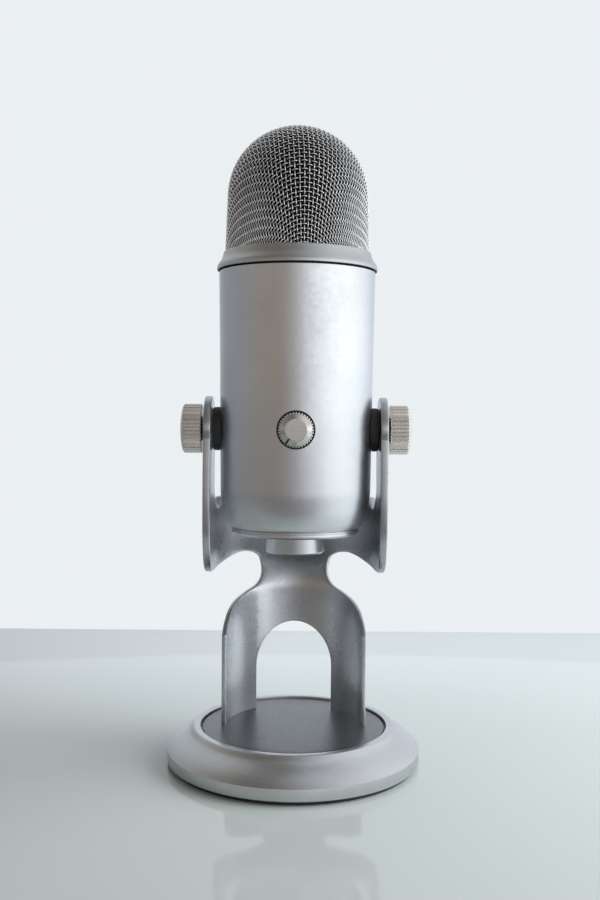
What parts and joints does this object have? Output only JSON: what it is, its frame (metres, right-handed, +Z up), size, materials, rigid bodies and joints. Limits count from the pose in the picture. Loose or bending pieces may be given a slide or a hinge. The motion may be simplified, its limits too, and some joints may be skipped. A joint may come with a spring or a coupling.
{
  "type": "desktop microphone",
  "caption": "Desktop condenser microphone: a satin cylinder with a domed wire grille, tilting between the two arms of a bent yoke on a round weighted base.",
  "frame": {"origin": "on the table, under the middle of the base", "axes": "+Z up, -Y to the front where the volume knob is, +X to the right seen from the front; the tilt pivot runs along X"},
  "size_m": [0.125, 0.125, 0.3124],
  "materials": {
    "satin_metal": "satin silver, fine grain, on a zinc casting",
    "body_metal": "satin silver, fine grain",
    "dark_metal": "darker satin",
    "thumb_metal": "satin, ribbed",
    "grille_wire": "woven wire",
    "black_rubber": "matte",
    "black_foam": "open foam",
    "black_plastic": "matte",
    "steel": "plated",
    "brass": "turned",
    "circuit_board": "solder mask"
  },
  "bodies": {
    "stand": {"base_casting": "satin_metal", "foot_pad": "black_rubber", "base_disc": "dark_metal", "yoke": "satin_metal", "leg_screw_1": "steel", "leg_screw_2": "steel", "leg_screw_3": "steel", "leg_screw_4": "steel"},
    "microphone": {"body_shell": "body_metal", "grille_collar": "body_metal", "grille": "grille_wire", "grille_liner": "black_foam", "end_cap": "body_metal", "mount_boss": "body_metal", "pivot_insert_left": "brass", "pivot_insert_right": "brass", "friction_washer_left": "black_rubber", "friction_washer_right": "black_rubber", "chassis": "black_plastic", "main_board": "circuit_board", "control_board": "circuit_board", "shock_mount": "black_rubber", "capsule_bracket": "black_plastic", "capsule_1": "brass", "capsule_2": "brass", "capsule_3": "brass", "volume_pot": "black_plastic", "gain_pot": "black_plastic", "pattern_switch": "black_plastic", "volume_seat": "black_plastic", "gain_seat": "black_plastic", "pattern_seat": "black_plastic", "usb_socket": "steel", "headphone_jack": "black_plastic", "cap_screw_1": "steel", "cap_screw_2": "steel"},
    "volume_control": {"volume_knob": "body_metal", "volume_shaft": "steel"},
    "gain_control": {"gain_knob": "body_metal", "gain_shaft": "steel"},
    "pattern_control": {"pattern_knob": "body_metal", "pattern_shaft": "steel"},
    "left_washer": {"thrust_washer_left": "black_plastic"},
    "left_thumbscrew": {"thumbscrew_left": "thumb_metal"},
    "right_washer": {"thrust_washer_right": "black_plastic"},
    "right_thumbscrew": {"thumbscrew_right": "thumb_metal"}
  },
  "joints": [
    {"name": "mic_tilt", "type": "hinge", "parent": "stand", "child": "microphone", "pos_m": [0, 0, 0.165], "axis": [1, 0, 0], "range_deg": [-70, 6]},
    {"name": "volume_turn", "type": "hinge", "parent": "microphone", "child": "volume_control", "pos_m": [0, -0.0426, 0.1655], "axis": [0, 1, 0], "range_deg": [0, 300]},
    {"name": "gain_turn", "type": "hinge", "parent": "microphone", "child": "gain_control", "pos_m": [0, 0.0426, 0.165], "axis": [0, -1, 0], "range_deg": [0, 300]},
    {"name": "pattern_turn", "type": "hinge", "parent": "microphone", "child": "pattern_control", "pos_m": [0, 0.0426, 0.2], "axis": [0, -1, 0], "range_deg": [0, 90]},
    {"name": "left_screw_travel", "type": "slide", "parent": "stand", "child": "left_washer", "axis": [-1, 0, 0], "range_m": [0, 0.002]},
    {"name": "left_screw_turn", "type": "hinge", "parent": "left_washer", "child": "left_thumbscrew", "pos_m": [-0.05, 0, 0.165], "axis": [-1, 0, 0], "range_deg": [0, 720]},
    {"name": "right_screw_travel", "type": "slide", "parent": "stand", "child": "right_washer", "axis": [1, 0, 0], "range_m": [0, 0.002]},
    {"name": "right_screw_turn", "type": "hinge", "parent": "right_washer", "child": "right_thumbscrew", "pos_m": [0.05, 0, 0.165], "axis": [1, 0, 0], "range_deg": [0, 720]}
  ],
  "couplings": [
    {"joint": "left_screw_turn", "follows": "left_screw_travel", "rad_per_m": 6283.2},
    {"joint": "right_screw_turn", "follows": "right_screw_travel", "rad_per_m": 6283.2}
  ]
}
